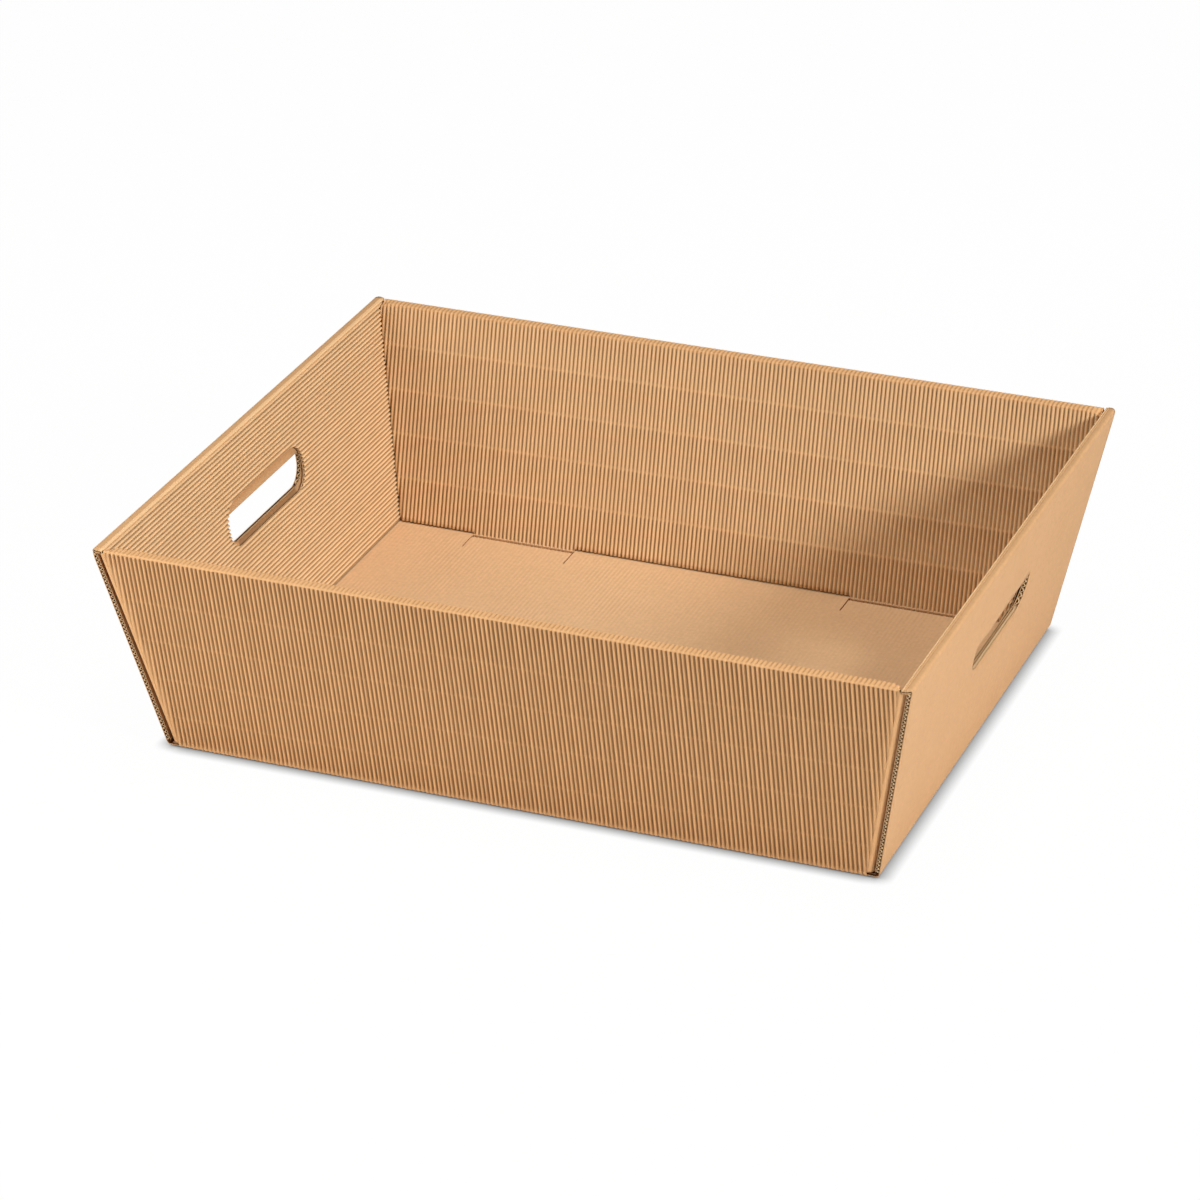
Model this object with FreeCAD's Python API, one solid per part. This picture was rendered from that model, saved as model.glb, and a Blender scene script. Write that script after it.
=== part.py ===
import FreeCAD, Part
import math, os

os.makedirs("parts", exist_ok=True)

# A tray folded and locked from one ribbed card sheet, in millimetres.
# +X runs along the long side, -Y is the front, +Z is up and z = 0 is the table.

# Outer size of the tray over its ridges
base_length = 392.0
base_width = 300.0
top_length = 440.0
top_width = 361.0
height = 124.0

# The card: a smooth backing sheet that carries the ridges
sheet = 0.9
ridge_height = 1.1
ridge_pitch = 2.42
ply = sheet + ridge_height
fold_radius = 1.6

# Thickness of the double walls, over both plies
long_wall = 7.6
end_wall = 6.2

# Handle slot in each end wall, measured up the slope, and the lip that the outer ply keeps at its top
slot_length = 95.0
slot_height = 26.5
slot_middle = 79.5
slot_radius = 12.0
slot_lip = 9.0

# Two locking tabs at the foot of each long inner ply
tab_length = 62.0
tab_offset = 113.5
tab_lift = 0.3
slit_length = 14.0
slit_width = 0.8

# Corner wings, folded from the long plies into the end walls
wing_length = 62.0
wing_taper = 14.0
corner_radius = 2.6

# Clear gaps, plain bands beside the folds, and how far the base panel stops short of them
gap = 0.4
long_foot_gap = 2.0
foot_gap = 1.2
plain_edge = 2.2
crushed_band = 5.0
panel_inset = 8.0

# Slope of the walls
long_lean = math.atan2((top_width - base_width) / 2, height)
end_lean = math.atan2((top_length - base_length) / 2, height)
middle = ridge_height + sheet / 2


# Outline of a bent sheet
def unit(a, b):
    span = math.hypot(b[0] - a[0], b[1] - a[1])
    return ((b[0] - a[0]) / span, (b[1] - a[1]) / span)


def bend_points(before, corner, after, offset):
    """Three points of one bend, offset to the left of the path."""
    first = unit(before, corner)
    second = unit(corner, after)
    turn = first[0] * second[1] - first[1] * second[0]
    side = 1 if turn > 0 else -1
    angle = math.acos(first[0] * second[0] + first[1] * second[1])
    back = fold_radius * math.tan(angle / 2)
    left = (-first[1], first[0])
    right_after = (-second[1], second[0])
    centre = [corner[i] - first[i] * back + side * left[i] * fold_radius for i in (0, 1)]
    reach = side * fold_radius - offset
    half = [left[i] + right_after[i] for i in (0, 1)]
    size = math.hypot(half[0], half[1])
    normals = (left, (half[0] / size, half[1] / size), right_after)
    return [tuple(centre[i] - n[i] * reach for i in (0, 1)) for n in normals]


def end_point(start, other, offset):
    along = unit(start, other)
    return (start[0] - along[1] * offset, start[1] + along[0] * offset)


def side_edges(path, offset, place):
    """Edges of one face of the bent sheet and its two end points."""
    here = end_point(path[0], path[1], offset)
    first = here
    edges = []
    for i in range(1, len(path) - 1):
        start, mid, stop = bend_points(path[i - 1], path[i], path[i + 1], offset)
        edges.append(Part.makeLine(place(here), place(start)))
        edges.append(Part.Arc(place(start), place(mid), place(stop)).toShape())
        here = stop
    last = end_point(path[-1], path[-2], -offset)
    edges.append(Part.makeLine(place(here), place(last)))
    return edges, first, last


def bent_sheet(path, place, run):
    """Solid of a bent sheet, its section on the path and drawn out both ways."""
    left, left_start, left_stop = side_edges(path, sheet / 2, place)
    right, right_start, right_stop = side_edges(path, -sheet / 2, place)
    caps = [Part.makeLine(place(left_start), place(right_start)),
            Part.makeLine(place(left_stop), place(right_stop))]
    wire = Part.Wire(Part.__sortEdges__(left + right + caps))
    face = Part.Face(wire)
    face.translate(run * -1)
    return face.extrude(run * 2)


def in_long_section(point):
    return FreeCAD.Vector(0, -point[0], point[1])


def in_end_section(point):
    return FreeCAD.Vector(point[0], 0, point[1])


# Section paths, as distance from the middle of the tray and height
def slope_point(half_base, lean, depth, z):
    """Point on the line that lies a depth inside the outer face of a wall."""
    return (half_base + z * math.tan(lean) - depth / math.cos(lean), z)


def wall_path(half_base, lean, outer_depth, top_z, inner_depth, foot_z):
    """Base edge, outer ply, top land and inner ply as one folded line."""
    return [(half_base - 20, middle),
            slope_point(half_base, lean, outer_depth, middle),
            slope_point(half_base, lean, outer_depth, top_z),
            slope_point(half_base, lean, inner_depth, top_z),
            slope_point(half_base, lean, inner_depth, foot_z)]


# Solids that limit how far a wall reaches sideways
def taper(bottom, top, inset, lean, along_x):
    """Wide wedge whose slanted sides lie an inset inside the tray's side faces."""
    low = -10.0
    high = height + 10
    half_low = bottom / 2 + low * math.tan(lean) - inset / math.cos(lean)
    half_high = bottom / 2 + high * math.tan(lean) - inset / math.cos(lean)
    corners = [(-half_low, low), (half_low, low), (half_high, high), (-half_high, high)]
    place = in_long_taper if along_x else in_end_taper
    points = [place(c) for c in corners]
    face = Part.Face(Part.makePolygon(points + points[:1]))
    reach = FreeCAD.Vector(0, 2 * top_width, 0) if along_x else FreeCAD.Vector(2 * top_length, 0, 0)
    face.translate(reach * -0.5)
    return face.extrude(reach)


def in_long_taper(point):
    return FreeCAD.Vector(point[0], 0, point[1])


def in_end_taper(point):
    return FreeCAD.Vector(0, point[0], point[1])


def between_ends(inset):
    return taper(base_length, top_length, inset, end_lean, True)


def between_fronts(inset):
    return taper(base_width, top_width, inset, long_lean, False)


# Place of a wall's own axes: along, up the slope, and outward
def wall_frame(origin, along, up):
    out = along.cross(up)
    matrix = FreeCAD.Matrix(along.x, up.x, out.x, origin.x,
                            along.y, up.y, out.y, origin.y,
                            along.z, up.z, out.z, origin.z,
                            0, 0, 0, 1)
    return FreeCAD.Placement(matrix)


def front_frame():
    up = FreeCAD.Vector(0, -math.sin(long_lean), math.cos(long_lean))
    return wall_frame(FreeCAD.Vector(0, -base_width / 2, 0), FreeCAD.Vector(1, 0, 0), up)


def right_frame():
    up = FreeCAD.Vector(math.sin(end_lean), 0, math.cos(end_lean))
    return wall_frame(FreeCAD.Vector(base_length / 2, 0, 0), FreeCAD.Vector(0, 1, 0), up)


# Ridges, as one comb of small prisms side by side
def ridge_profile(start, count, crest, root, flat):
    """Closed zigzag of a number of ridges, with their crests at one height."""
    valley = root + (crest - root) * 0.12
    bite = root - (crest - root) * 0.1
    points = [(start, bite), (start, valley)]
    for i in range(count):
        centre = start + (i + 0.5) * ridge_pitch
        if flat:
            points.append((centre - flat / 2, crest))
            points.append((centre + flat / 2, crest))
        else:
            points.append((centre, crest))
        points.append((start + (i + 1) * ridge_pitch, valley))
    points.append((start + count * ridge_pitch, bite))
    return points


def odd_count(span):
    """Number of ridges that fit a span with one of them in its middle."""
    return 2 * int((span / ridge_pitch - 1) / 2) + 1


def comb(profile, place, run):
    points = [place(p) for p in profile]
    face = Part.Face(Part.makePolygon(points + points[:1]))
    return face.extrude(run)


def upright_ridges(depth, outward, low, high):
    """Ridges that run up the slope of the front wall, on one face of it."""
    count = odd_count(top_length)
    crest = -depth
    root = crest - outward * ridge_height
    profile = ridge_profile(-count * ridge_pitch / 2, count, crest, root, 0)
    solid = comb(profile, lambda p: FreeCAD.Vector(p[0], low, p[1]), FreeCAD.Vector(0, high - low, 0))
    return solid.transformGeometry(front_frame().toMatrix())


def level_ridges(depth, outward, low, high):
    """Ridges that run level along the right end wall, on one face of it."""
    half = top_width / 2
    crest = -depth
    root = crest - outward * ridge_height
    count = int((high - low) / ridge_pitch)
    profile = ridge_profile(low, count, crest, root, 0)
    solid = comb(profile, lambda p: FreeCAD.Vector(-half, p[0], p[1]), FreeCAD.Vector(2 * half, 0, 0))
    return solid.transformGeometry(right_frame().toMatrix())


# Long wall at the front: outer ply, ribbed land and inner ply with its tabs
def tab_gates():
    """Boxes round the two tabs of the front inner ply."""
    starts = [side * tab_offset - tab_length / 2 for side in (-1, 1)]
    return [Part.makeBox(tab_length, 60, 12, FreeCAD.Vector(start, -base_width / 2, -5)) for start in starts]


def front_wall():
    half = base_width / 2
    slope = height / math.cos(long_lean)
    outer = wall_path(half, long_lean, middle, height - middle, long_wall - middle, tab_lift)
    run = FreeCAD.Vector(top_length / 2, 0, 0)
    whole = bent_sheet(outer, in_long_section, run).common(between_ends(end_wall + gap))
    skin = bent_sheet(outer[:3], in_long_section, run).common(between_ends(ply + gap))
    skin = skin.common(level_slab(-5, height - middle - fold_radius))
    reach = between_ends(ply + gap + corner_radius + plain_edge / 2)
    outside = upright_ridges(0, 1, ply + 1, slope - plain_edge).common(reach)
    inside = upright_ridges(long_wall, -1, tab_lift, slope - plain_edge)
    inside = inside.common(between_ends(end_wall + gap)).common(level_slab(tab_lift, height))
    inner = whole.fuse(inside)
    foot = level_slab(-5, ply + long_foot_gap).common(inner_zone())
    for gate in tab_gates():
        foot = foot.cut(gate)
    inner = inner.cut(foot)
    return inner.fuse([skin, outside]).removeSplitter()


def level_slab(low, high):
    corner = FreeCAD.Vector(-top_length, -top_width, low)
    return Part.makeBox(2 * top_length, 2 * top_width, high - low, corner)


def inner_zone():
    """Space behind the front outer ply, where only the inner ply stands."""
    front = -base_width / 2 + ply + gap
    corner = FreeCAD.Vector(-top_length, front, -5)
    return Part.makeBox(2 * top_length, long_wall + 4, 20, corner)


# Corner wings: the ends of the long outer ply, folded inside the end wall
def wing():
    slope = height / math.cos(end_lean)
    depth = ply + gap
    low = ply + gap + fold_radius
    high = slope - ply - 2 * gap
    start = -top_width / 2
    points = [(start, low), (-base_width / 2 + wing_length, low),
              (-base_width / 2 + wing_length - wing_taper, high), (start, high)]
    corners = [FreeCAD.Vector(a, b, -depth - sheet) for a, b in points]
    face = Part.Face(Part.makePolygon(corners + corners[:1]))
    solid = face.extrude(FreeCAD.Vector(0, 0, sheet)).transformGeometry(right_frame().toMatrix())
    return solid.common(between_fronts(ridge_height))


# End wall at the right: smooth outside, handle slot, creased land, ribbed inside
def handle_slot():
    """Rounded cut through both plies, less the lip of the outer ply."""
    box = Part.makeBox(slot_length, slot_height, 60,
                       FreeCAD.Vector(-slot_length / 2, slot_middle - slot_height / 2, -40))
    upright = [e for e in box.Edges if abs(e.tangentAt(e.FirstParameter).z) > 0.9]
    rounded = box.makeFillet(slot_radius, upright)
    lip_foot = slot_middle + slot_height / 2 - slot_lip
    lip = Part.makeBox(slot_length, slot_lip, 60, FreeCAD.Vector(-slot_length / 2, lip_foot, -end_wall / 2))
    return rounded.cut(lip).transformGeometry(right_frame().toMatrix())


def right_wall():
    half = base_length / 2
    slope = height / math.cos(end_lean)
    path = wall_path(half, end_lean, sheet / 2, height - sheet / 2, end_wall - middle, ply + foot_gap)
    run = FreeCAD.Vector(0, top_width / 2, 0)
    outer = bent_sheet(path[:4], in_end_section, run).common(between_fronts(gap))
    inner = bent_sheet(path, in_end_section, run).common(between_fronts(ply + gap))
    hidden = level_ridges(ply, -1, ply + 3, slope - ply - gap).common(between_fronts(gap))
    inside = level_ridges(end_wall, -1, ply + foot_gap, slope - crushed_band)
    inside = inside.common(between_fronts(ply + gap)).common(level_slab(ply + foot_gap, height))
    wall = outer.fuse([inner, hidden, inside])
    return wall.cut(handle_slot()).removeSplitter()


# Base panel: smooth above, ridges below, with tongued slots for the tabs
def base_panel():
    corner = FreeCAD.Vector(panel_inset - base_length / 2, panel_inset - base_width / 2, ridge_height)
    panel = Part.makeBox(base_length - 2 * panel_inset, base_width - 2 * panel_inset, sheet, corner)
    count = odd_count(base_length - 2 * ply)
    wide_half = base_width / 2 - ply
    profile = ridge_profile(-count * ridge_pitch / 2, count, 0, ridge_height, ridge_pitch * 0.3)
    under = comb(profile, lambda p: FreeCAD.Vector(p[0], -wide_half, p[1]),
                 FreeCAD.Vector(0, 2 * wide_half, 0))
    return panel.fuse(under)


def base_cuts():
    """Slots for the front tabs and the short slits that free their tongues."""
    cuts = []
    face = -base_width / 2 + long_wall / math.cos(long_lean)
    for side in (-1, 1):
        width = tab_length + 2 * gap
        start = side * tab_offset - width / 2
        depth = ply + 2 * gap
        cuts.append(Part.makeBox(width, depth, 10, FreeCAD.Vector(start, face - ply - gap, -5)))
        for edge in (start, start + width - slit_width):
            corner = FreeCAD.Vector(edge, face, -5)
            cuts.append(Part.makeBox(slit_width, slit_length, 10, corner))
    return cuts


# The whole tray: each wall is made once and turned half round for its pair
def half_turn(solid):
    other = solid.copy()
    other.rotate(FreeCAD.Vector(0, 0, 0), FreeCAD.Vector(0, 0, 1), 180)
    return other


def mirror_x(solid):
    return solid.mirror(FreeCAD.Vector(0, 0, 0), FreeCAD.Vector(1, 0, 0))


def build_tray():
    front = front_wall()
    flap = wing()
    front = front.fuse([flap, mirror_x(flap)])
    right = right_wall()
    base = base_panel()
    for cut in base_cuts():
        base = base.cut([cut, half_turn(cut)])
    tray = base.fuse([front, half_turn(front), right, half_turn(right)])
    return tray.removeSplitter()


tray = build_tray()
tray.exportStep("parts/tray.step")
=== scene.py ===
import bmesh
import bpy
import math
import numpy as np
from mathutils import Matrix, Vector


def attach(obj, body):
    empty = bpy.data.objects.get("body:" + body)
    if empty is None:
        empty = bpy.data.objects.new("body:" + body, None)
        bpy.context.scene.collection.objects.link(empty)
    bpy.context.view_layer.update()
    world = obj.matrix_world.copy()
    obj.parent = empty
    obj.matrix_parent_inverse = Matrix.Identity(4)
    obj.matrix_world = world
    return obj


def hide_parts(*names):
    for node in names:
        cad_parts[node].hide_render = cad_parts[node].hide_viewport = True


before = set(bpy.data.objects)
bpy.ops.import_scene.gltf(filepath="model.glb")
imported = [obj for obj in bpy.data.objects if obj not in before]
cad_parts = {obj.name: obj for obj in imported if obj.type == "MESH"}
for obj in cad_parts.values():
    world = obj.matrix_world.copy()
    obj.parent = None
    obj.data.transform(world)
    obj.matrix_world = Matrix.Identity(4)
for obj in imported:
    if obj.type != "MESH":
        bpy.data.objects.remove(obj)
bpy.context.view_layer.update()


# The long walls.
# Real piece: the front and back panels of one sheet of ribbed kraft card, folded up from the base,
# over the top into a flat land and down inside, with the ribs on the outside all the way round.
# Made on a single facer, crushed along each fold, held by two tabs in the base and by corner wings.
MM = 0.001
BASE = (392.0, 300.0)
TOP = (440.0, 361.0)
HEIGHT = 124.0
END_LEAN = math.atan2((TOP[0] - BASE[0]) / 2, HEIGHT)
LONG_LEAN = math.atan2((TOP[1] - BASE[1]) / 2, HEIGHT)
LONG_WALL = 7.6
END_WALL = 6.2
PLY = 2.0
GAP = 0.4
RIDGE_PITCH = 2.42
RIDGE_HEIGHT = 1.5
CORNER_RADIUS = 3.6
WING_INSET = 3.2
WING_LENGTH = 62.0
TAB_MIDDLE = 113.5
TAB_LENGTH = 62.0
CRUSHED_DEPTH = 0.15
MERGE_DISTANCE = 0.000004
PLY_PAPER = 0.35
LAND_PRESS = 0.6
GLUE_WIDTH = 0.6
GLUE_PRESS = (0.3, 0.5)
GLUE_STEP = 24.6
GLUE_LOW = (20.2, 27.5)
LAND_DROP = 2.0


def smooth_step(value):
    value = np.clip(value, 0.0, 1.0)
    return value * value * (3 - 2 * value)


def fold_line(corners, radii):
    """A folded section as closely spaced points: distance along it, place and inward direction."""
    points = [np.array(corners[0])]
    for i in range(1, len(corners) - 1):
        before, here, after = (np.array(corners[i + k]) for k in (-1, 0, 1))
        first = (here - before) / np.linalg.norm(here - before)
        second = (after - here) / np.linalg.norm(after - here)
        turn = math.acos(np.clip(first @ second, -1, 1))
        start = here - first * radii[i - 1] * math.tan(turn / 2)
        side = np.sign(first[0] * second[1] - first[1] * second[0])
        left = np.array((-first[1], first[0])) * side
        centre = start + left * radii[i - 1]
        for angle in np.linspace(0, turn, 9):
            spoke = -left * math.cos(angle) + first * math.sin(angle)
            points.append(centre + spoke * radii[i - 1])
    points.append(np.array(corners[-1]))
    points = np.array(points)
    steps = np.linalg.norm(np.diff(points, axis=0), axis=1)
    along = np.concatenate(([0.0], np.cumsum(steps)))
    fine = np.arange(0, along[-1] + 0.05, 0.1)
    place = np.stack([np.interp(fine, along, points[:, k]) for k in (0, 1)], axis=1)
    slope = np.gradient(place, axis=0)
    slope /= np.linalg.norm(slope, axis=1)[:, None]
    inward = np.stack([-slope[:, 1], slope[:, 0]], axis=1)
    return {"along": fine, "place": place, "inward": inward, "length": along[-1]}


def on_line(line, along):
    """Place and inward direction at distances along a folded section."""
    place = [np.interp(along, line["along"], line["place"][:, k]) for k in (0, 1)]
    inward = [np.interp(along, line["along"], line["inward"][:, k]) for k in (0, 1)]
    return place, inward


def distance_at(line, span, height):
    """Distance along a section at which it passes a height, within a span of it."""
    inside = (line["along"] >= span[0]) & (line["along"] <= span[1])
    heights = line["place"][inside, 1]
    along = line["along"][inside]
    order = np.argsort(heights)
    return np.interp(height, heights[order], along[order])


def card_mesh(name, blocks):
    """One mesh from blocks of rows and columns, with what the ridge tree reads on its points."""
    places, inwards, across, press, inner, faces = [], [], [], [], [], []
    first = 0
    for block in blocks:
        rows, columns = block["across"].shape
        places.append(block["place"].reshape(-1, 3) * MM)
        inwards.append(block["inward"].reshape(-1, 3))
        across.append(block["across"].ravel())
        press.append(block["press"].ravel())
        inner.append(np.full(rows * columns, float(block.get("inner", 0))))
        index = first + np.arange(rows * columns).reshape(rows, columns)
        quads = np.stack([index[:-1, :-1], index[:-1, 1:], index[1:, 1:], index[1:, :-1]], axis=-1)
        faces.append(quads.reshape(-1, 4))
        first += rows * columns
    mesh = bpy.data.meshes.new(name)
    mesh.from_pydata(np.concatenate(places).tolist(), [], np.concatenate(faces).tolist())
    for title, kind, values in (("inward", "FLOAT_VECTOR", inwards), ("across", "FLOAT", across),
                                ("press", "FLOAT", press), ("inner", "FLOAT", inner)):
        layer = mesh.attributes.new(title, kind, "POINT")
        key = "vector" if kind == "FLOAT_VECTOR" else "value"
        layer.data.foreach_set(key, np.concatenate(values).ravel().astype(np.float32))
    return mesh


def add_node(tree, kind, inputs=None, **settings):
    """Adds a node, sets its settings, and fills or links its inputs."""
    made = tree.nodes.new(kind)
    for name, value in settings.items():
        setattr(made, name, value)
    for key, value in (inputs or {}).items():
        if isinstance(value, bpy.types.NodeSocket):
            tree.links.new(value, made.inputs[key])
        else:
            made.inputs[key].default_value = value
    return made


def ridge_tree():
    """Presses ridges into a flat sheet, from its crests inward, fading out where it is crushed."""
    tree = bpy.data.node_groups.new("card ridges", "GeometryNodeTree")
    face = tree.interface
    face.new_socket("Sheet", in_out="INPUT", socket_type="NodeSocketGeometry")
    for title, value in (("Pitch mm", RIDGE_PITCH), ("Ridge height mm", RIDGE_HEIGHT),
                         ("Unevenness", 0.12), ("Seed", 1.0)):
        socket = face.new_socket(title, in_out="INPUT", socket_type="NodeSocketFloat")
        socket.default_value = value
    face.new_socket("Card", in_out="INPUT", socket_type="NodeSocketMaterial")
    face.new_socket("Ridged sheet", in_out="OUTPUT", socket_type="NodeSocketGeometry")
    given = add_node(tree, "NodeGroupInput").outputs
    across = add_node(tree, "GeometryNodeInputNamedAttribute", {"Name": "across"}).outputs["Attribute"]
    press = add_node(tree, "GeometryNodeInputNamedAttribute", {"Name": "press"}).outputs["Attribute"]
    inward = add_node(tree, "GeometryNodeInputNamedAttribute", {"Name": "inward"},
                      data_type="FLOAT_VECTOR").outputs["Attribute"]
    phase = add_node(tree, "ShaderNodeMath", {0: across, 1: given["Pitch mm"]}, operation="DIVIDE")
    turn = add_node(tree, "ShaderNodeMath", {0: phase.outputs[0], 1: math.pi}, operation="MULTIPLY")
    wave = add_node(tree, "ShaderNodeMath", {0: turn.outputs[0]}, operation="SINE")
    arch = add_node(tree, "ShaderNodeMath", {0: wave.outputs[0]}, operation="ABSOLUTE")
    crest = add_node(tree, "ShaderNodeMath", {0: arch.outputs[0], 1: 1.1}, operation="POWER")
    ridge = add_node(tree, "ShaderNodeMath", {0: phase.outputs[0]}, operation="FLOOR")
    pick = add_node(tree, "FunctionNodeRandomValue", {"ID": ridge.outputs[0]}, data_type="FLOAT")
    tree.links.new(given["Seed"], pick.inputs["Seed"])
    place = add_node(tree, "GeometryNodeInputPosition")
    sway = add_node(tree, "ShaderNodeTexNoise",
                    {"Vector": place.outputs[0], "Scale": 26.0, "Detail": 2.0})
    mixed = add_node(tree, "ShaderNodeMath", {0: pick.outputs[1], 1: sway.outputs[0]},
                     operation="ADD")
    loss = add_node(tree, "ShaderNodeMath", {0: mixed.outputs[0], 1: given["Unevenness"]},
                    operation="MULTIPLY")
    kept = add_node(tree, "ShaderNodeMath", {0: 1.0, 1: loss.outputs[0]}, operation="SUBTRACT")
    risen = add_node(tree, "ShaderNodeMath", {0: crest.outputs[0], 1: kept.outputs[0]},
                     operation="MULTIPLY")
    sunk = add_node(tree, "ShaderNodeMath", {0: 1.0, 1: risen.outputs[0]}, operation="SUBTRACT")
    depth = add_node(tree, "ShaderNodeMix", {0: press, 2: sunk.outputs[0], 3: CRUSHED_DEPTH},
                     data_type="FLOAT")
    metres = add_node(tree, "ShaderNodeMath", {0: given["Ridge height mm"], 1: MM},
                      operation="MULTIPLY")
    push = add_node(tree, "ShaderNodeMath", {0: depth.outputs[0], 1: metres.outputs[0]},
                    operation="MULTIPLY")
    offset = add_node(tree, "ShaderNodeVectorMath", {0: inward, "Scale": push.outputs[0]},
                      operation="SCALE")
    moved = add_node(tree, "GeometryNodeSetPosition",
                     {"Geometry": given["Sheet"], "Offset": offset.outputs[0]})
    merged = add_node(tree, "GeometryNodeMergeByDistance",
                      {"Geometry": moved.outputs[0], "Distance": MERGE_DISTANCE})
    stored = add_node(tree, "GeometryNodeStoreNamedAttribute",
                      {"Geometry": merged.outputs[0], "Name": "sunk", "Value": depth.outputs[0]})
    shaded = add_node(tree, "GeometryNodeSetShadeSmooth", {"Geometry": stored.outputs[0]})
    real = add_node(tree, "GeometryNodeRealizeInstances", {"Geometry": shaded.outputs[0]})
    dressed = add_node(tree, "GeometryNodeSetMaterial",
                       {"Geometry": real.outputs[0], "Material": given["Card"]})
    add_node(tree, "NodeGroupOutput", {0: dressed.outputs[0]})
    return tree


def linear(text):
    """sRGB hex colour as the linear colour that the nodes take."""
    parts = [int(text[i:i + 2], 16) / 255 for i in (1, 3, 5)]
    return tuple(p / 12.92 if p < 0.04045 else ((p + 0.055) / 1.055) ** 2.4 for p in parts) + (1.0,)


def ribbed_kraft(title, pale_inside_painted_light, deep_inside_painted_light):
    """Kraft fluting paper, or the cut edge of it on the end walls: unbleached and dried on the
    roll, matt, even brown, short fibres that catch the light. Painted shade darkens the colour in the
    valleys, and paler colours on the inside plies and cut edges are painted light."""
    card = bpy.data.materials.new(title)
    card.use_nodes = True
    tree = card.node_tree
    shader = tree.nodes["Principled BSDF"]
    shader.inputs["Roughness"].default_value = 0.82
    shader.inputs["Specular IOR Level"].default_value = 0.25
    place = add_node(tree, "ShaderNodeTexCoord").outputs["Object"]
    cloud = add_node(tree, "ShaderNodeTexNoise", {"Vector": place, "Scale": 60.0, "Detail": 4.0})
    fibre = add_node(tree, "ShaderNodeTexNoise", {"Vector": place, "Scale": 1400.0, "Detail": 5.0,
                                                  "Roughness": 0.7})
    sunk = add_node(tree, "ShaderNodeAttribute", attribute_name="sunk").outputs["Fac"]
    inner = add_node(tree, "ShaderNodeAttribute", attribute_name="inner").outputs["Fac"]
    # Paler colours where inner is set, on the inside plies and cut flute edges: painted light, making
    # up for light that reaches them less.
    pale = add_node(tree, "ShaderNodeMix", {0: inner, 6: linear("#EBB781"), 7: linear(pale_inside_painted_light)},
                    data_type="RGBA")
    deep = add_node(tree, "ShaderNodeMix", {0: inner, 6: linear("#E1AC75"), 7: linear(deep_inside_painted_light)},
                    data_type="RGBA")
    base = add_node(tree, "ShaderNodeMix",
                    {0: cloud.outputs["Fac"], 6: pale.outputs[2], 7: deep.outputs[2]}, data_type="RGBA")
    speck = add_node(tree, "ShaderNodeMapRange",
                     {0: fibre.outputs["Fac"], 1: 0.35, 2: 0.7, 3: 0.93, 4: 1.05})
    # Painted shade: the colour darkens down into each valley, to 0.4 at the bottom.
    painted_valley_shade = add_node(tree, "ShaderNodeMapRange", {0: sunk, 1: 0.1, 2: 1.0, 3: 1.0, 4: 0.4})
    speck_and_painted_shade = add_node(tree, "ShaderNodeMath", {0: speck.outputs[0], 1: painted_valley_shade.outputs[0]},
                    operation="MULTIPLY")
    tone = add_node(tree, "ShaderNodeMix", {0: 1.0, 6: base.outputs[2], 7: speck_and_painted_shade.outputs[0]},
                    data_type="RGBA", blend_type="MULTIPLY")
    tree.links.new(tone.outputs[2], shader.inputs["Base Color"])
    bump = add_node(tree, "ShaderNodeBump", {"Height": fibre.outputs["Fac"], "Strength": 0.25,
                                             "Distance": 0.00008})
    tree.links.new(bump.outputs[0], shader.inputs["Normal"])
    return card


# The inside colours are paler than the outside ones: painted light on the inside plies.
RIDGED = ribbed_kraft("ribbed kraft fluting", "#F7CD9B", "#EDC18D")
RIDGES = ridge_tree()


def press_ridges(mesh, name, seed, height=RIDGE_HEIGHT, card=RIDGED):
    """Runs the ridge tree on a sheet and keeps the result as a plain mesh."""
    flat = bpy.data.objects.new(name + "_flat", mesh)
    bpy.context.scene.collection.objects.link(flat)
    ridges = flat.modifiers.new("ridges", "NODES")
    ridges.node_group = RIDGES
    given = {"Seed": float(seed), "Ridge height mm": height, "Card": card}
    for socket in RIDGES.interface.items_tree:
        if socket.name in given:
            ridges[socket.identifier] = given[socket.name]
    seen = flat.evaluated_get(bpy.context.evaluated_depsgraph_get())
    plain = bpy.data.meshes.new_from_object(seen)
    plain.name = name
    flat.modifiers.remove(ridges)
    bpy.data.objects.remove(flat)
    piece = bpy.data.objects.new(name, plain)
    bpy.context.scene.collection.objects.link(piece)
    return piece


def paper_edge(piece, thickness):
    """Gives the open edges of a sheet the thickness of the paper, inward."""
    edge = piece.modifiers.new("paper edge", "SOLIDIFY")
    edge.thickness = thickness * MM
    edge.offset = -1.0
    edge.use_rim = True
    edge.use_rim_only = True
    seen = piece.evaluated_get(bpy.context.evaluated_depsgraph_get())
    mesh = bpy.data.meshes.new_from_object(seen)
    piece.modifiers.remove(edge)
    piece.data = mesh


def finish_piece(piece):
    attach(piece, "root")
    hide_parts("tray")


def turn_half(piece):
    """Turns a piece's mesh half round the upright axis, for the opposite wall."""
    count = len(piece.data.vertices)
    flat = np.empty(count * 3, dtype=np.float32)
    piece.data.vertices.foreach_get("co", flat)
    points = flat.reshape(-1, 3)
    points[:, :2] *= -1
    piece.data.vertices.foreach_set("co", points.ravel())
    piece.data.update()


def end_reach(inset, height):
    """Distance from the middle to a plane inside the end walls, at a height."""
    return BASE[0] / 2 + height * math.tan(END_LEAN) - inset / math.cos(END_LEAN)


def long_reach(inset, height):
    return BASE[1] / 2 + height * math.tan(LONG_LEAN) - inset / math.cos(LONG_LEAN)


def glue_rows(line, span, low):
    """Where the four glue lines of a ply run, as distances along its section."""
    return [distance_at(line, span, low + k * GLUE_STEP) for k in range(4)]


def banded(ends, glued):
    """Rows over a ply: close together at its ends and three at each glue line."""
    rows = [g + n for g in glued for n in (-1.3, 0.0, 1.3)]
    for end, way in ((ends[0], 1), (ends[1], -1)):
        rows += [end + way * n for n in (0.0, 0.8, 2.2, 5.0)]
    return np.unique(np.round(rows, 4))


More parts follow.
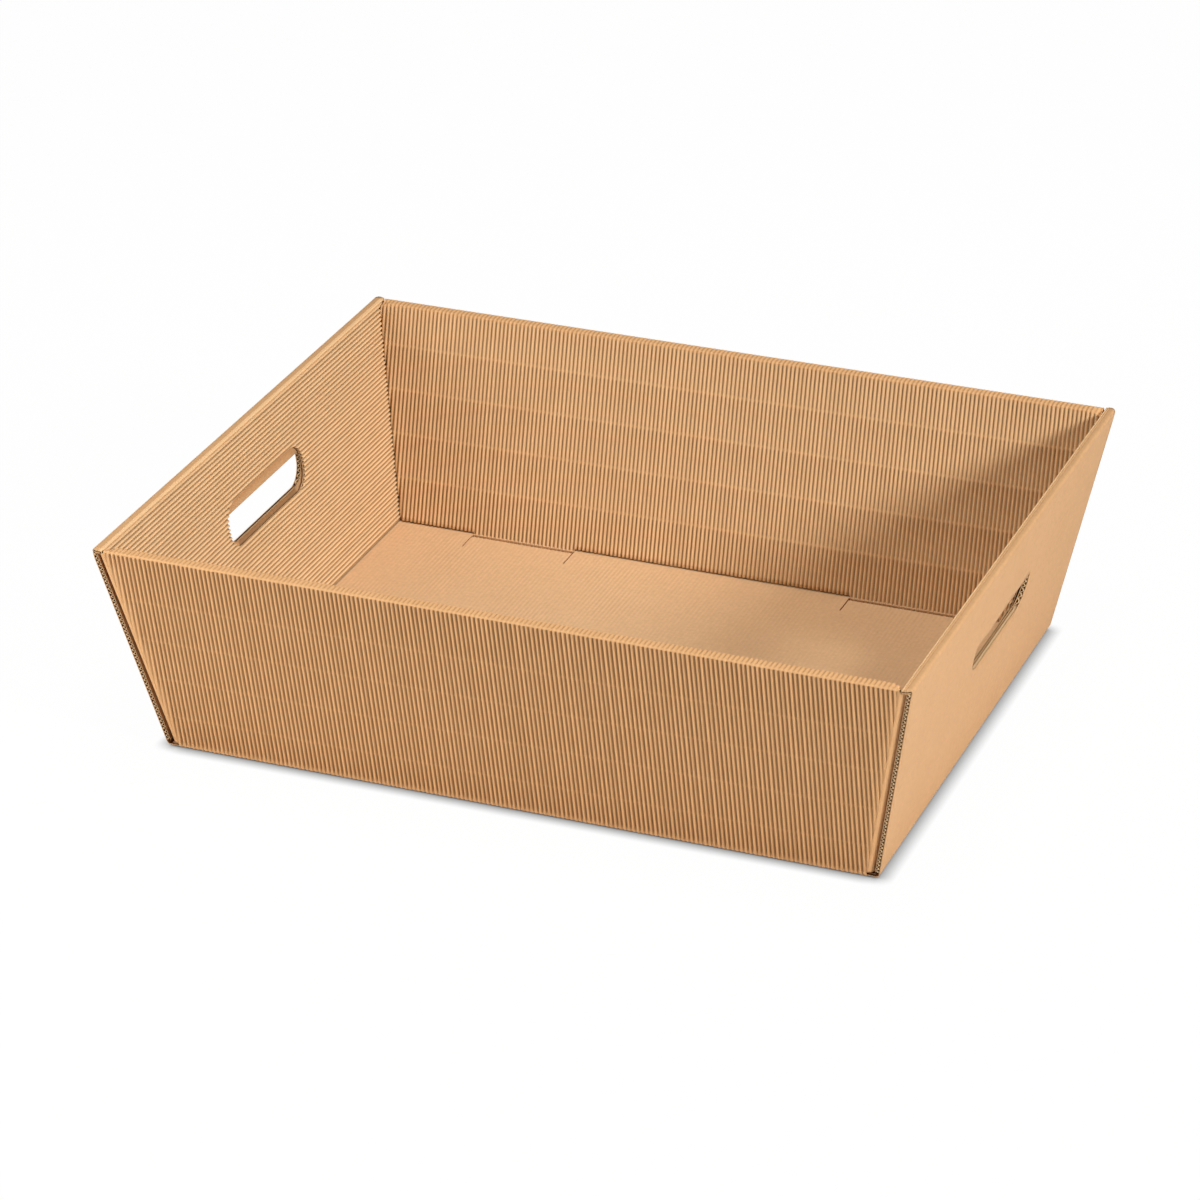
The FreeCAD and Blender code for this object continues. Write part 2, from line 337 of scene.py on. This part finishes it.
def long_wall_blocks():
    """Flat sheet of the front wall: underside, outer ply, land, inner ply and corner wings."""
    foot = long_reach(LONG_WALL, 0.3)
    corners = [(0, 0), (BASE[1] / 2, 0), (TOP[1] / 2, HEIGHT),
               (TOP[1] / 2 - LONG_WALL / math.cos(LONG_LEAN), HEIGHT), (foot, 0.3)]
    line = fold_line(corners, (2.2, 1.3, 1.3))
    slope = HEIGHT / math.cos(LONG_LEAN)
    rise = distance_at(line, (BASE[1] / 2, BASE[1] / 2 + slope - 2), 3.2)
    crease = BASE[1] / 2 + slope - 2.6
    inner = line["length"] - slope + 1.6
    wing_low = end_reach(WING_INSET, 3.2) - CORNER_RADIUS
    wing_high = end_reach(WING_INSET, HEIGHT - 1.6) - CORNER_RADIUS
    land_half = end_reach(END_WALL + GAP, HEIGHT)
    inner_low = end_reach(END_WALL + GAP, 4.0)
    ends = [s * TAB_MIDDLE + e * TAB_LENGTH / 2 for s in (-1, 1) for e in (-1, 1)]
    tabs = [end + n for end in ends for n in (-0.02, 0.02)]
    parts = (0.0, 0.11, 0.22, 0.36, 0.5, 0.64, 0.78, 0.89)
    columns = [(k + f) * RIDGE_PITCH for k in range(-92, 92) for f in parts]
    columns += tabs + [s * v for s in (-1, 1) for v in (wing_low, wing_high, land_half, inner_low)]
    columns = np.unique(np.round([c for c in columns if abs(c) <= wing_high + 1e-6], 4))

    outer_glue = glue_rows(line, (BASE[1] / 2, BASE[1] / 2 + slope - 4), GLUE_LOW[0])
    inner_glue = glue_rows(line, (inner, line["length"]), GLUE_LOW[1])

    def make(chosen, along):
        place, inward = on_line(line, along)
        wide = np.broadcast_to(chosen, along.shape)
        side = wing_reach(place[1], wide)
        press = press_long(line, along, side, outer_glue, inner_glue)
        drop = smooth_step((np.abs(wide) - land_half + 7) / 7) ** 1.5
        drop = drop * smooth_step((along - crease - 3) / 2.5)
        drop = LAND_DROP * drop * smooth_step((inner + 12 - along) / 12)
        spot = np.stack([wide, -place[0], place[1] - drop], axis=-1)
        into = np.stack([np.zeros_like(wide), -inward[0], inward[1]], axis=-1)
        across = wide + RIDGE_PITCH / 2
        return {"place": spot, "inward": into, "across": across, "press": press}

    blocks = []
    under = columns[np.abs(columns) <= wing_low + 1e-6]
    rows = np.array([0.0, 141.0, 145.5, 147.5, 149.0, 150.2, 151.2, rise])
    rows = np.sort(rows[rows <= rise])
    blocks.append(make(under, np.repeat(rows[:, None], len(under), axis=1)))
    start = np.full(len(columns), rise)
    beyond = np.abs(columns) > wing_low
    reach = (np.abs(columns[beyond]) - wing_low) / (wing_high - wing_low)
    start[beyond] = rise + reach * (crease - rise)
    rows = banded((rise, crease), outer_glue)
    blocks.append(make(columns, np.maximum(rows[:, None], start)))
    over = columns[np.abs(columns) <= land_half + 1e-6]
    rows = np.linspace(crease, inner, 13)
    blocks.append(make(over, np.repeat(rows[:, None], len(over), axis=1)))
    in_tab = np.abs(np.abs(over) - TAB_MIDDLE) < TAB_LENGTH / 2
    deep = distance_at(line, (inner, line["length"]), 0.7)
    high = distance_at(line, (inner, line["length"]), PLY + 1.1)
    stop = np.where(in_tab, deep, high)
    beyond = np.abs(over) > inner_low
    reach = (np.abs(over[beyond]) - inner_low) / (land_half - inner_low)
    stop[beyond] = high - reach * (high - inner) * 0.985
    rows = banded((inner, deep), inner_glue)
    blocks.append(dict(make(over, np.minimum(rows[:, None], stop)), inner=1))
    for side in (-1, 1):
        blocks += wing_blocks(line, side, wing_low, wing_high, rise, crease, columns)
    return blocks


def wing_reach(height, wide):
    """Distance of a point on the wall from the corner fold beside it."""
    edge = end_reach(WING_INSET, 0) + height * math.tan(END_LEAN) - CORNER_RADIUS
    return edge - np.abs(wide)


def press_long(line, along, side, outer_glue, inner_glue):
    """How far the ridges are crushed: along the folds, the cut foot, the corners and the glue."""
    inner_top = (TOP[1] / 2 - LONG_WALL / math.cos(LONG_LEAN), HEIGHT)
    corners = ((BASE[1] / 2, 0), (TOP[1] / 2, HEIGHT), inner_top)
    folds = [line["along"][np.argmin(np.hypot(*(line["place"] - c).T))] for c in corners]
    press = 0.75 * (1 - smooth_step((np.abs(along - folds[0]) - 1.0) / 3.0))
    press = np.maximum(press, 0.95 * (1 - smooth_step((np.abs(along - folds[1]) - 0.7) / 0.7)))
    press = np.maximum(press, 0.55 * (1 - smooth_step((np.abs(along - folds[2]) - 0.5) / 2.2)))
    on_land = smooth_step((along - folds[1]) / 0.6) * smooth_step((folds[2] - along) / 0.6)
    press = np.maximum(press, LAND_PRESS * on_land)
    outer = along < folds[1] + 2
    near = 1 - smooth_step((side + 0.6) / 3.0)
    press = np.where(outer, np.maximum(press, near), press)
    for middles, crushed in zip((outer_glue, inner_glue), GLUE_PRESS):
        for middle in middles:
            press = np.maximum(press, crushed * np.exp(-((along - middle) / GLUE_WIDTH) ** 2))
    return press


def wing_blocks(line, side, low, high, rise, crease, columns):
    """The corner fold and the wing behind it, from the slanted edge of the outer ply."""
    edge = columns[(side * columns >= low - 1e-6) & (side * columns <= high + 1e-6)]
    edge = edge[np.argsort(side * edge)]
    reach = (np.abs(edge) - low) / (high - low)
    along = rise + reach * (crease - rise)
    place, inward = on_line(line, along)
    turns = np.linspace(0, math.pi / 2, 7)
    steps = np.array([2.0, 8.0, 20.0, WING_LENGTH])
    count = len(turns) + len(steps)
    spot = np.zeros((len(edge), count, 3))
    into = np.zeros((len(edge), count, 3))
    for k, turn in enumerate(turns):
        out_x = math.sin(turn)
        out_y = math.cos(turn)
        spot[:, k, 0] = edge + side * CORNER_RADIUS * out_x
        spot[:, k, 1] = -(place[0] - CORNER_RADIUS * (1 - out_y))
        spot[:, k, 2] = place[1]
        into[:, k, 0] = -side * out_x
        into[:, k, 1] = -inward[0] * out_y
        into[:, k, 2] = inward[1] * out_y + math.sin(END_LEAN) * out_x
    for k, step in enumerate(steps):
        spot[:, len(turns) + k, 0] = edge + side * CORNER_RADIUS
        spot[:, len(turns) + k, 1] = -(place[0] - CORNER_RADIUS - step)
        spot[:, len(turns) + k, 2] = place[1]
        into[:, len(turns) + k] = into[:, len(turns) - 1]
    if side < 0:
        spot = spot[:, ::-1]
        into = into[:, ::-1]
    across = np.full(spot.shape[:2], RIDGE_PITCH / 2)
    return [{"place": spot, "inward": into, "across": across, "press": np.ones(spot.shape[:2])}]


for number, wall in enumerate(("front_long_wall", "back_long_wall")):
    piece = press_ridges(card_mesh(wall, long_wall_blocks()), wall, number + 3)
    if number:
        turn_half(piece)
    paper_edge(piece, PLY_PAPER)
    finish_piece(piece)


# The end walls.
# Real piece: the two end panels, folded up, over a creased land and down inside, smooth outside and
# ribbed inside, with a rounded hand slot die-cut through both plies.
# The ribs lie level here. They are crushed flat at the fold, and a seam runs along the land.
SLOT_LENGTH = 95.0
SLOT_HEIGHT = 26.5
SLOT_MIDDLE = 79.5
SLOT_RADIUS = 12.0
FOOT_GAP = 1.2
SKIN_START = 8.2
SLOT_LIP = 9.0
FLUTE_HEIGHT = 2.0
SEAM = 0.42


def smooth_kraft(title, colours, axis, pitch, trace):
    """Kraft liner, calendered on one side: matt brown with soft clouds from the wire and short
    fibres. The ribs glued behind it show through as a faint trace across one axis: a bump for the
    relief, and faint light and dark stripes painted in the colour as its light and shade."""
    card = bpy.data.materials.new(title)
    card.use_nodes = True
    tree = card.node_tree
    shader = tree.nodes["Principled BSDF"]
    shader.inputs["Roughness"].default_value = 0.74
    shader.inputs["Specular IOR Level"].default_value = 0.3
    place = add_node(tree, "ShaderNodeTexCoord").outputs["Object"]
    cloud = add_node(tree, "ShaderNodeTexNoise", {"Vector": place, "Scale": 45.0, "Detail": 5.0,
                                                  "Roughness": 0.6})
    fleck = add_node(tree, "ShaderNodeTexNoise", {"Vector": place, "Scale": 420.0, "Detail": 4.0})
    fibre = add_node(tree, "ShaderNodeTexNoise", {"Vector": place, "Scale": 1600.0, "Detail": 5.0,
                                                  "Roughness": 0.7})
    split = add_node(tree, "ShaderNodeSeparateXYZ", {"Vector": place})
    phase = add_node(tree, "ShaderNodeMath",
                     {0: split.outputs[axis], 1: 2 * math.pi / (pitch * MM)}, operation="MULTIPLY")
    wave = add_node(tree, "ShaderNodeMath", {0: phase.outputs[0]}, operation="SINE")
    patch = add_node(tree, "ShaderNodeTexNoise", {"Vector": place, "Scale": 30.0, "Detail": 2.0})
    shown = add_node(tree, "ShaderNodeMapRange",
                     {0: patch.outputs["Fac"], 1: 0.35, 2: 0.65, 3: 0.3, 4: 1.0})
    ribs = add_node(tree, "ShaderNodeMath", {0: wave.outputs[0], 1: shown.outputs[0]},
                    operation="MULTIPLY")
    base = add_node(tree, "ShaderNodeMix", {0: cloud.outputs["Fac"], 6: linear(colours[0]),
                                            7: linear(colours[1])}, data_type="RGBA")
    speck = add_node(tree, "ShaderNodeMapRange",
                     {0: fleck.outputs["Fac"], 1: 0.3, 2: 0.7, 3: 0.94, 4: 1.05})
    # Painted light and shade: faint lighter and darker stripes in the colour along the ribs.
    painted_rib_stripes = add_node(tree, "ShaderNodeMath", {0: ribs.outputs[0], 1: 0.03 * trace, 2: 1.0},
                    operation="MULTIPLY_ADD")
    speck_and_painted_shade = add_node(tree, "ShaderNodeMath", {0: speck.outputs[0], 1: painted_rib_stripes.outputs[0]},
                    operation="MULTIPLY")
    tone = add_node(tree, "ShaderNodeMix", {0: 1.0, 6: base.outputs[2], 7: speck_and_painted_shade.outputs[0]},
                    data_type="RGBA", blend_type="MULTIPLY")
    tree.links.new(tone.outputs[2], shader.inputs["Base Color"])
    fine = add_node(tree, "ShaderNodeBump", {"Height": fibre.outputs["Fac"], "Strength": 0.3,
                                             "Distance": 0.00008})
    broad = add_node(tree, "ShaderNodeBump", {"Height": ribs.outputs[0], "Normal": fine.outputs[0],
                                              "Strength": 0.5, "Distance": 0.00008 * trace})
    tree.links.new(broad.outputs[0], shader.inputs["Normal"])
    return card


SMOOTH = smooth_kraft("smooth kraft liner", ("#D2A475", "#CB9D6D"), 2,
                      RIDGE_PITCH * math.cos(END_LEAN), 0.5)


def slot_half(up):
    """Half length of the hand slot at distances up the slope."""
    off = np.abs(up - SLOT_MIDDLE)
    round_in = np.clip(off - (SLOT_HEIGHT / 2 - SLOT_RADIUS), 0, SLOT_RADIUS)
    return SLOT_LENGTH / 2 - SLOT_RADIUS + np.sqrt(SLOT_RADIUS ** 2 - round_in ** 2)


def level_blocks(line, rows, ups, inset, shape, lip=0.0):
    """Rows along an end wall, split in two beside the hand slot.

    ups holds each row's distance up the slope, shape gives press and across for a block, and lip
    is how far the sheet hangs down into the top of the slot."""
    low = SLOT_MIDDLE - SLOT_HEIGHT / 2
    high = SLOT_MIDDLE + SLOT_HEIGHT / 2 - lip
    beside = (ups >= low - 1e-6) & (ups <= high + 1e-6)
    middle = np.linspace(0.12, 0.88, 8)
    spread = np.concatenate((np.linspace(0, 0.06, 4), middle, np.linspace(0.94, 1, 4)))
    below = ups <= low + 1e-6
    above = ups >= high - 1e-6
    blocks = []
    for chosen, spans in ((below, (0, 1, 2)), (above, (0, 1, 2)), (beside, (0, 2))):
        picked = np.where(chosen)[0]
        runs = np.split(picked, np.where(np.diff(picked) > 1)[0] + 1)
        for run in [r for r in runs if len(r) > 1]:
            along = rows[run]
            place, inward = on_line(line, along)
            reach = long_reach(np.broadcast_to(inset, ups.shape)[run], place[1])
            half = slot_half(ups[run])
            edges = (-reach, -half, half, reach)
            for k in spans:
                wide = edges[k][:, None] + (edges[k + 1] - edges[k])[:, None] * spread
                flat = np.zeros_like(wide)
                spot = np.stack([place[0][:, None] + flat, wide, place[1][:, None] + flat], axis=-1)
                into = np.stack([inward[0][:, None] + flat, flat, inward[1][:, None] + flat], axis=-1)
                press, across = shape(along[:, None] + flat, ups[run][:, None] + flat, wide)
                blocks.append({"place": spot, "inward": into, "across": across, "press": press})
    return blocks


def end_wall_line():
    corners = [(BASE[0] / 2 - 8, 1.1), (BASE[0] / 2 + 0.2, 1.1), (TOP[0] / 2 - 0.3, HEIGHT),
               (TOP[0] / 2 - END_WALL / math.cos(END_LEAN), HEIGHT),
               (end_reach(END_WALL, PLY + FOOT_GAP), PLY + FOOT_GAP)]
    return fold_line(corners, (2.0, 1.5, 1.3))


def smooth_shape(along, up, wide):
    return np.full(along.shape, 0.0), np.full(along.shape, RIDGE_PITCH / 2)


def flute_shape(along, up, wide):
    return np.full(along.shape, 0.0), up + RIDGE_PITCH / 2


def flat_sheet(name, blocks, material):
    """Mesh of a sheet with no ridges, as its blocks give it."""
    mesh = card_mesh(name, blocks)
    piece = bpy.data.objects.new(name, mesh)
    bpy.context.scene.collection.objects.link(piece)
    tidy = bpy.data.meshes.new(name)
    work = bmesh.new()
    work.from_mesh(mesh)
    bmesh.ops.remove_doubles(work, verts=work.verts, dist=MERGE_DISTANCE)
    work.to_mesh(tidy)
    work.free()
    tidy.materials.append(material)
    tidy.polygons.foreach_set("use_smooth", [True] * len(tidy.polygons))
    piece.data = tidy
    return piece


def slot_rows():
    """Closely spaced rows over the outer ply's part of the hand slot, closest at its rims."""
    low = SLOT_MIDDLE - SLOT_HEIGHT / 2
    return low + (SLOT_HEIGHT - SLOT_LIP) * (0.5 - 0.5 * np.cos(np.linspace(0, math.pi, 29)))


def end_outside(creases, stand):
    """Smooth skin: under the base edge, up the outside and over the outer part of the land."""
    line = end_wall_line()
    slope = (HEIGHT - 1.1) / math.cos(END_LEAN)
    land = END_WALL / math.cos(END_LEAN)
    gate = slot_rows()
    ups = np.concatenate((np.linspace(-8, 3, 12), np.linspace(6, gate[0], 12), gate,
                          np.linspace(gate[-1], slope - 2.5, 12),
                          np.linspace(slope - 2, slope + SEAM * land, 40)))
    ups = np.unique(np.round(ups, 5))
    blocks = level_blocks(line, SKIN_START + ups, ups, GAP, smooth_shape, SLOT_LIP)
    for block in blocks:
        sink_creases(block, land, creases)
    return bow(blocks, stand)


def hidden_layers(line, stand):
    """What the cut edges of the outer ply show: its level flutes and the paper behind them."""
    slope = (HEIGHT - 1.1) / math.cos(END_LEAN)
    gate = slot_rows()
    parts = (0.0, 0.11, 0.22, 0.36, 0.5, 0.64, 0.78, 0.89)
    ups = [(k + f) * RIDGE_PITCH for k in range(1, 51) for f in parts]
    ups = np.unique(np.round(ups + [gate[0], gate[-1]], 5))
    ups = ups[ups < slope - 1.6]
    flutes = level_blocks(line, SKIN_START + ups, ups, GAP, flute_shape, SLOT_LIP)
    ups = np.unique(np.round(np.concatenate((np.linspace(2, gate[0], 10), gate,
                                             np.linspace(gate[-1], slope - 2, 10))), 5))
    paper = level_blocks(line, SKIN_START + ups, ups, GAP, smooth_shape, SLOT_LIP)
    flutes = [dict(block, inner=1) for block in flutes]
    return bow(deeper(flutes, 0.35), stand), bow(deeper(paper, 0.4 + FLUTE_HEIGHT), stand)


def deeper(blocks, depth):
    """The same sheet, set further into the wall."""
    return [dict(block, place=block["place"] + block["inward"] * depth) for block in blocks]


def bow(blocks, stand):
    """Lets the outer ply stand off or sink in a little over the hand slot, as in a used box."""
    low = SLOT_MIDDLE - SLOT_HEIGHT / 2
    high = SLOT_MIDDLE + SLOT_HEIGHT / 2 - SLOT_LIP
    slope = HEIGHT / math.cos(END_LEAN)
    for block in blocks:
        spot = block["place"]
        up = spot[..., 2] / math.cos(END_LEAN)
        outer = spot[..., 0] > end_reach(END_WALL / 2, 0) + spot[..., 2] * math.tan(END_LEAN)
        above = smooth_step((slope - 1.5 - up) / (slope - 1.5 - high))
        beside = 0.1 + 0.9 * smooth_step((up - low) / (high - low))
        below = 0.1 * smooth_step((up - low + 30) / 30)
        share = np.where(up > high, above, np.where(up > low, beside, below))
        swell = stand[0] + stand[1] * np.exp(-((spot[..., 1] + 26) / 20) ** 2)
        fade = smooth_step((155 - np.abs(spot[..., 1])) / 100)
        spot[..., 0] += np.where(outer, share * swell * fade, 0)
    return blocks


def sink_creases(block, land, creases):
    """Presses the crease lines into the land and rounds its far corners."""
    spot = block["place"]
    flat = spot[..., 2] > HEIGHT - 1.0
    off = (TOP[0] / 2 - spot[..., 0])
    groove = 0.0
    for share in creases:
        groove = groove + 0.3 * np.exp(-((off - land * share) / 0.26) ** 2)
    spot[..., 2] -= np.where(flat, groove, 0)
    radius = 4.5
    short = np.clip(radius - off, 0, radius)
    cut = radius - np.sqrt(radius ** 2 - short ** 2)
    lifted = np.clip(spot[..., 2] - (HEIGHT - 4), 0, 4) / 4
    edge = long_reach(GAP, 0) + spot[..., 2] * math.tan(LONG_LEAN)
    near = smooth_step((np.abs(spot[..., 1]) - (edge - 8)) / 8)
    spot[..., 1] -= np.sign(spot[..., 1]) * near * cut * lifted * 0.7


def inner_shape(along, up, wide):
    """Level ridges on the inner ply, crushed at the fold and over the land."""
    slope = HEIGHT / math.cos(END_LEAN)
    press = 0.93 * (1 - smooth_step((slope - 0.6 - up) / 3.0))
    return press, up + RIDGE_PITCH / 2


def end_inside(line, creases, pinch):
    """Inner ply with level ridges, from its foot up and over the inner part of the land."""
    slope = HEIGHT / math.cos(END_LEAN)
    land = END_WALL / math.cos(END_LEAN)
    parts = (0.0, 0.11, 0.22, 0.36, 0.5, 0.64, 0.78, 0.89)
    ups = [(k + f) * RIDGE_PITCH for k in range(0, 55) for f in parts]
    low = SLOT_MIDDLE - SLOT_HEIGHT / 2
    high = SLOT_MIDDLE + SLOT_HEIGHT / 2
    foot = (PLY + FOOT_GAP) / math.cos(END_LEAN)
    top = slope - 1.8
    ups = [u for u in ups if foot < u < top] + [foot, low, high]
    ups = np.unique(np.round(ups + list(np.linspace(top, slope + land * (1 - SEAM) + 0.3, 34)), 5))
    rows = line["length"] - (ups - foot)
    order = np.argsort(rows)
    rows = rows[order]
    ups = ups[order]
    inset = GAP + PLY * smooth_step((slope - 1.2 - ups) / 1.5)
    blocks = level_blocks(line, rows, ups, inset, inner_shape)
    for block in blocks:
        sink_creases(block, land, creases)
        spot = block["place"]
        near = np.exp(-((spot[..., 2] - 66) / 30) ** 2) * np.exp(-(spot[..., 1] / 50) ** 2)
        spot += block["inward"] * (pinch * near * (spot[..., 2] < HEIGHT - 2))[..., None]
    return [dict(block, inner=1) for block in blocks]


# The flutes of the cut edges take paler colours: painted light along the edges.
CUT_EDGE = ribbed_kraft("cut kraft edge", "#F0CD9E", "#E9C08F")
for number, side in enumerate(("right", "left")):
    creases = ((0.62, 0.82), (0.12, 0.3))[number]
    stand = ((0.3, 0.6), (-0.9, 0.0))[number]
    line = end_wall_line()
    inside = end_inside(line, creases, (1.0, 0.8)[number])
    flutes, paper = hidden_layers(line, stand)
    flutes = card_mesh(side + "_end_flutes", flutes)
    back = deeper(inside, 0.1 + RIDGE_HEIGHT)
    inside = card_mesh(side + "_end_inside", inside)
    sheets = [(flat_sheet(side + "_end_outside", end_outside(creases, stand), SMOOTH), 0.4),
              (press_ridges(flutes, side + "_end_flutes", number + 11, FLUTE_HEIGHT, CUT_EDGE), 0.45),
              (flat_sheet(side + "_end_outer_paper", paper, SMOOTH), 0.25),
              (press_ridges(inside, side + "_end_inside", number + 7), 0.35),
              (flat_sheet(side + "_end_inner_paper", back, SMOOTH), 0.3)]
    for piece, thickness in sheets:
        if number:
            turn_half(piece)
        paper_edge(piece, thickness)
        finish_piece(piece)


# The base.
# Real piece: the middle panel of the sheet, smooth liner upwards, with a slot for each wall tab
# and a short slit at each end of it that frees a tongue.
# Die-cut with the rest of the sheet, and lying on its ribs.
SLIT_LENGTH = 14.0
SLIT_WIDTH = 0.8
BASE_CARD = 0.7


def base_cells():
    """Rectangles of the base panel between its slots and slits, as kept cells of a grid."""
    face = long_reach(LONG_WALL, 0)
    depth = PLY + 2 * GAP
    width = TAB_LENGTH + 2 * GAP
    x_lines = [-BASE[0] / 2 + 2.0, BASE[0] / 2 - 2.0]
    y_lines = [-BASE[1] / 2 + 2.0, BASE[1] / 2 - 2.0]
    holes = []
    for sx in (-1, 1):
        start = sx * TAB_MIDDLE - width / 2
        for sy in (-1, 1):
            near = sy * (face - PLY - GAP)
            far = near + sy * depth
            holes.append((start, start + width, min(near, far), max(near, far)))
            for edge in (start, start + width - SLIT_WIDTH):
                tip = sy * (face - PLY - GAP - SLIT_LENGTH)
                holes.append((edge, edge + SLIT_WIDTH, min(tip, near), max(tip, near)))
    for hole in holes:
        x_lines += hole[:2]
        y_lines += hole[2:]
    x_lines = np.unique(np.round(x_lines + list(np.linspace(-190, 190, 20)), 4))
    y_lines = np.unique(np.round(y_lines + list(np.linspace(-140, 140, 15)), 4))
    points, faces, known = [], [], {}
    for i in range(len(x_lines) - 1):
        for j in range(len(y_lines) - 1):
            mid = ((x_lines[i] + x_lines[i + 1]) / 2, (y_lines[j] + y_lines[j + 1]) / 2)
            if any(h[0] < mid[0] < h[1] and h[2] < mid[1] < h[3] for h in holes):
                continue
            ring = []
            for a, b in ((i, j), (i + 1, j), (i + 1, j + 1), (i, j + 1)):
                if (a, b) not in known:
                    known[(a, b)] = len(points)
                    points.append((x_lines[a] * MM, y_lines[b] * MM, PLY * MM))
                ring.append(known[(a, b)])
            faces.append(ring)
    return points, faces


points, faces = base_cells()
mesh = bpy.data.meshes.new("base_panel")
mesh.from_pydata(points, [], faces)
base_card = smooth_kraft("smooth kraft base", ("#DFB78B", "#D7AE82"), 0, RIDGE_PITCH, 1.2)
mesh.materials.append(base_card)
base = bpy.data.objects.new("base_panel", mesh)
bpy.context.scene.collection.objects.link(base)
thick = base.modifiers.new("card thickness", "SOLIDIFY")
thick.thickness = BASE_CARD * MM
thick.offset = -1.0
seen = base.evaluated_get(bpy.context.evaluated_depsgraph_get())
mesh = bpy.data.meshes.new_from_object(seen)
base.modifiers.remove(thick)
base.data = mesh
finish_piece(base)


# Floor, light and camera.
# A plain white sweep with a painted contact shadow close under the tray, a round key lamp low on the
# right, a weak fill at the left front, a broad lamp overhead and almost no sky. The long lens stands a
# little right of the front, looking down over the near wall into the tray. Its numbers come from the
# outer corners in the photo.
FLOOR_REACH = 14.0
CAMERA_TURN = 21.259
CAMERA_TILT = 26.194
CAMERA_DISTANCE = 5.8062
CAMERA_SHIFT = (-0.02377, 0.10487)
FOCAL_PIXELS = 4750.0
FRAME_PIXELS = 1200.0
FLOOR_GLOW = 0.98
SKY_LIGHT = 0.04
corners = [(x * FLOOR_REACH, y * FLOOR_REACH, 0) for x, y in ((-1, -1), (1, -1), (1, 1), (-1, 1))]
ground = bpy.data.meshes.new("floor")
ground.from_pydata(corners, [], [(0, 1, 2, 3)])
floor = bpy.data.objects.new("floor", ground)
bpy.context.scene.collection.objects.link(floor)
white = bpy.data.materials.new("white paper sweep")
white.use_nodes = True
tree = white.node_tree
paint = tree.nodes["Principled BSDF"]
paint.inputs["Base Color"].default_value = linear("#FAFAFA")
paint.inputs["Roughness"].default_value = 0.9
ray = add_node(tree, "ShaderNodeLightPath")
mirror = add_node(tree, "ShaderNodeMath",
                  {0: ray.outputs["Is Camera Ray"], 1: ray.outputs["Is Glossy Ray"]}, operation="ADD")
clear = add_node(tree, "ShaderNodeMath",
                 {0: mirror.outputs[0], 1: ray.outputs["Is Transmission Ray"]},
                 operation="ADD", use_clamp=True)
share = add_node(tree, "ShaderNodeMath", {0: clear.outputs[0], 1: FLOOR_GLOW}, operation="MULTIPLY")
# Painted contact shadow: the white glow darkens by ambient occlusion close under the tray.
near = add_node(tree, "ShaderNodeAmbientOcclusion", {"Distance": 0.008})
glow_with_painted_contact_shadow = add_node(tree, "ShaderNodeEmission", {"Color": near.outputs["Color"], "Strength": 1.0})
mixed = add_node(tree, "ShaderNodeMixShader",
                 {0: share.outputs[0], 1: paint.outputs[0], 2: glow_with_painted_contact_shadow.outputs[0]})
tree.links.new(mixed.outputs[0], tree.nodes["Material Output"].inputs["Surface"])
ground.materials.append(white)

sky = bpy.data.worlds.new("even sky")
bpy.context.scene.world = sky
sky.use_nodes = True
tree = sky.node_tree
tree.nodes.clear()
seen_by = add_node(tree, "ShaderNodeLightPath")
shown = add_node(tree, "ShaderNodeMix", {0: seen_by.outputs["Is Camera Ray"], 2: SKY_LIGHT, 3: 1.0},
                 data_type="FLOAT")
light = add_node(tree, "ShaderNodeBackground",
                 {"Color": (1, 1, 1, 1), "Strength": shown.outputs[0]})
add_node(tree, "ShaderNodeOutputWorld", {"Surface": light.outputs[0]})

for title, spot, width, power in (("key lamp", (2.46, -0.88, 1.48), 0.62, 65.0),
                                  ("fill lamp", (-0.62, -0.62, 0.4), 0.6, 3.6),
                                  ("top lamp", (0.15, -0.12, 2.19), 1.2, 24.0)):
    lamp = bpy.data.lights.new(title, "AREA")
    lamp.shape = "DISK"
    lamp.size = width
    lamp.energy = power
    holder = bpy.data.objects.new(title, lamp)
    bpy.context.scene.collection.objects.link(holder)
    holder.location = spot
    holder.rotation_euler = Vector(spot).to_track_quat("Z", "Y").to_euler()

turn = math.radians(CAMERA_TURN)
tilt = math.radians(CAMERA_TILT)
length = TOP[0] * MM
back = Vector((math.sin(turn) * math.cos(tilt), -math.cos(turn) * math.cos(tilt), math.sin(tilt)))
right = Vector((math.cos(turn), math.sin(turn), 0))
up = back.cross(right)
lens = bpy.data.cameras.new("camera")
lens.sensor_width = 36.0
lens.lens = FOCAL_PIXELS / FRAME_PIXELS * lens.sensor_width
lens.clip_end = 60.0
camera = bpy.data.objects.new("camera", lens)
bpy.context.scene.collection.objects.link(camera)
spot = back * (CAMERA_DISTANCE * length) + right * (CAMERA_SHIFT[0] * length)
spot += up * (CAMERA_SHIFT[1] * length)
camera.matrix_world = Matrix.Translation(spot) @ Matrix((right, up, back)).transposed().to_4x4()
bpy.context.scene.camera = camera
bpy.context.scene.view_settings.view_transform = "Standard"
